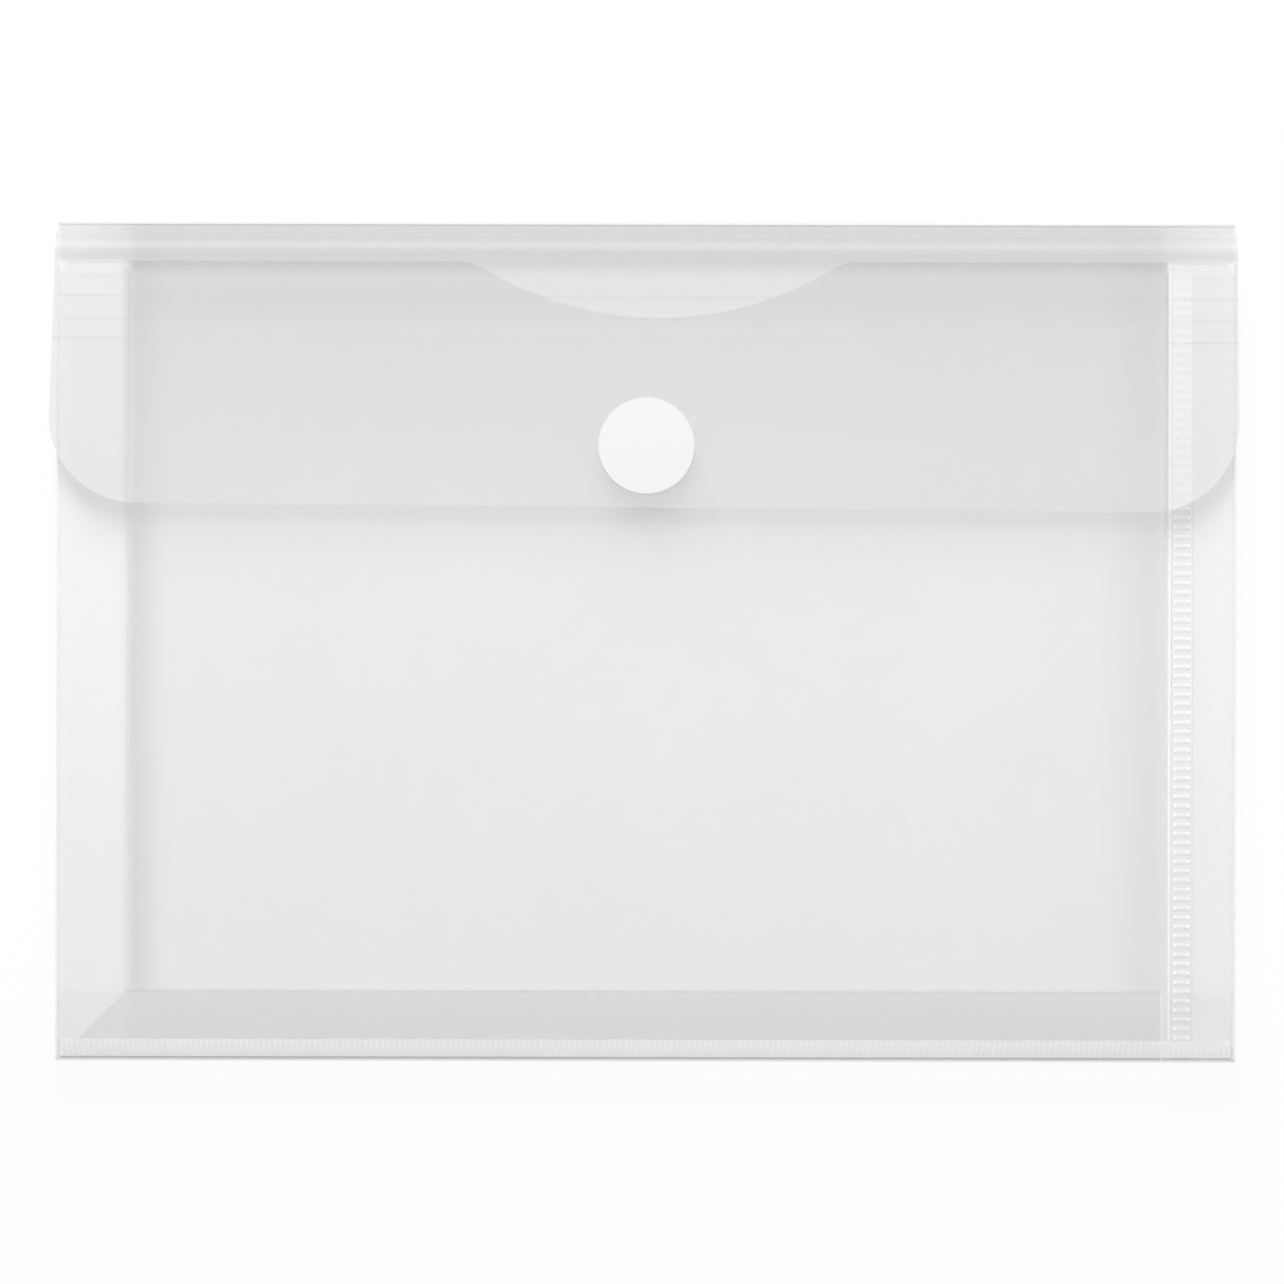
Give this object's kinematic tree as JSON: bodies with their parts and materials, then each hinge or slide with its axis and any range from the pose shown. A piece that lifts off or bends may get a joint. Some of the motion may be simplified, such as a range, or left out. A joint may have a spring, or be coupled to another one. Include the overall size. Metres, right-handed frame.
{
  "type": "document wallet",
  "caption": "Translucent film document wallet with pleated expanding gusset, thumb notch and creased fold-over flap held by a hook-and-loop coin.",
  "frame": {"origin": "middle of the footprint, on the surface that the wallet lies on", "axes": "+X across the width to the right, +Y towards the top fold, +Z out of the front panel"},
  "size_m": [0.252, 0.178, 0.0094],
  "materials": {
    "film": "translucent natural polypropylene film with a fine satin surface",
    "adhesive": "clear acrylic adhesive",
    "loop_pad": "white knitted loop",
    "hook_pad": "white moulded hook"
  },
  "bodies": {
    "back": {"back_panel": "film"},
    "left_rear_leaf": {"left_rear_leaf": "film"},
    "left_front_leaf": {"left_front_leaf": "film"},
    "front": {"front_panel": "film", "bottom_weld_tab": "film", "loop_adhesive": "adhesive", "loop_backing": "loop_pad", "loop_pile": "loop_pad"},
    "right_rear_leaf": {"right_rear_leaf": "film"},
    "right_front_leaf": {"right_front_leaf": "film", "right_weld_tab": "film"},
    "bottom_rear_leaf": {"bottom_rear_leaf": "film"},
    "bottom_front_leaf": {"bottom_front_leaf": "film"},
    "flap_fold": {"flap_fold": "film"},
    "flap_shoulder": {"flap_shoulder": "film"},
    "flap_band": {"flap_band": "film"},
    "flap_tongue": {"flap_tongue": "film", "hook_disc": "hook_pad", "hook_adhesive": "adhesive"}
  },
  "joints": [
    {"name": "gusset_open", "type": "hinge", "parent": "back", "child": "left_rear_leaf", "pos_m": [-0.12455, 0, 0.00045], "axis": [0, -1, 0], "range_deg": [0, 30]},
    {"name": "flap_open", "type": "hinge", "parent": "back", "child": "flap_fold", "pos_m": [0, 0.08855, 0.00045], "axis": [1, 0, 0], "range_deg": [-120, 0]},
    {"name": "flap_lift", "type": "hinge", "parent": "flap_fold", "child": "flap_shoulder", "pos_m": [0, 0.08556, 0.00686], "axis": [-1, 0, 0], "range_deg": [0, 87]},
    {"name": "flap_upper_crease", "type": "hinge", "parent": "flap_shoulder", "child": "flap_band", "pos_m": [0, 0.0729, 0.00917], "axis": [-1, 0, 0], "range_deg": [-67.5, 0]},
    {"name": "flap_lower_crease", "type": "hinge", "parent": "flap_band", "child": "flap_tongue", "pos_m": [0, 0.0638, 0.00917], "axis": [-1, 0, 0], "range_deg": [-19.5, 0]},
    {"name": "left_inner_fold", "type": "hinge", "parent": "left_rear_leaf", "child": "left_front_leaf", "pos_m": [-0.11032, 0, 0.00331], "axis": [0, -1, 0], "range_deg": [-60, 0]},
    {"name": "left_front_fold", "type": "hinge", "parent": "left_front_leaf", "child": "front", "pos_m": [-0.12455, 0, 0.00617], "axis": [0, -1, 0], "range_deg": [0, 30]},
    {"name": "right_rear_fold", "type": "hinge", "parent": "back", "child": "right_rear_leaf", "pos_m": [0.12455, 0, 0.00045], "axis": [0, 1, 0], "range_deg": [0, 30]},
    {"name": "right_front_fold", "type": "hinge", "parent": "front", "child": "right_front_leaf", "pos_m": [0.12455, 0, 0.00617], "axis": [0, -1, 0], "range_deg": [0, 30]},
    {"name": "bottom_rear_fold", "type": "hinge", "parent": "back", "child": "bottom_rear_leaf", "pos_m": [0, -0.08855, 0.00045], "axis": [1, 0, 0], "range_deg": [0, 30]},
    {"name": "bottom_front_fold", "type": "hinge", "parent": "front", "child": "bottom_front_leaf", "pos_m": [0, -0.08855, 0.00617], "axis": [-1, 0, 0], "range_deg": [0, 30]}
  ],
  "couplings": [
    {"joint": "left_inner_fold", "follows": "gusset_open", "ratio": -2},
    {"joint": "left_front_fold", "follows": "gusset_open", "ratio": 1},
    {"joint": "right_rear_fold", "follows": "gusset_open", "ratio": 1},
    {"joint": "right_front_fold", "follows": "gusset_open", "ratio": 1},
    {"joint": "bottom_rear_fold", "follows": "gusset_open", "ratio": 1},
    {"joint": "bottom_front_fold", "follows": "gusset_open", "ratio": 1},
    {"joint": "flap_lift", "follows": "gusset_open", "ratio": 2.9},
    {"joint": "flap_upper_crease", "follows": "gusset_open", "ratio": -2.25},
    {"joint": "flap_lower_crease", "follows": "gusset_open", "ratio": -0.65}
  ]
}
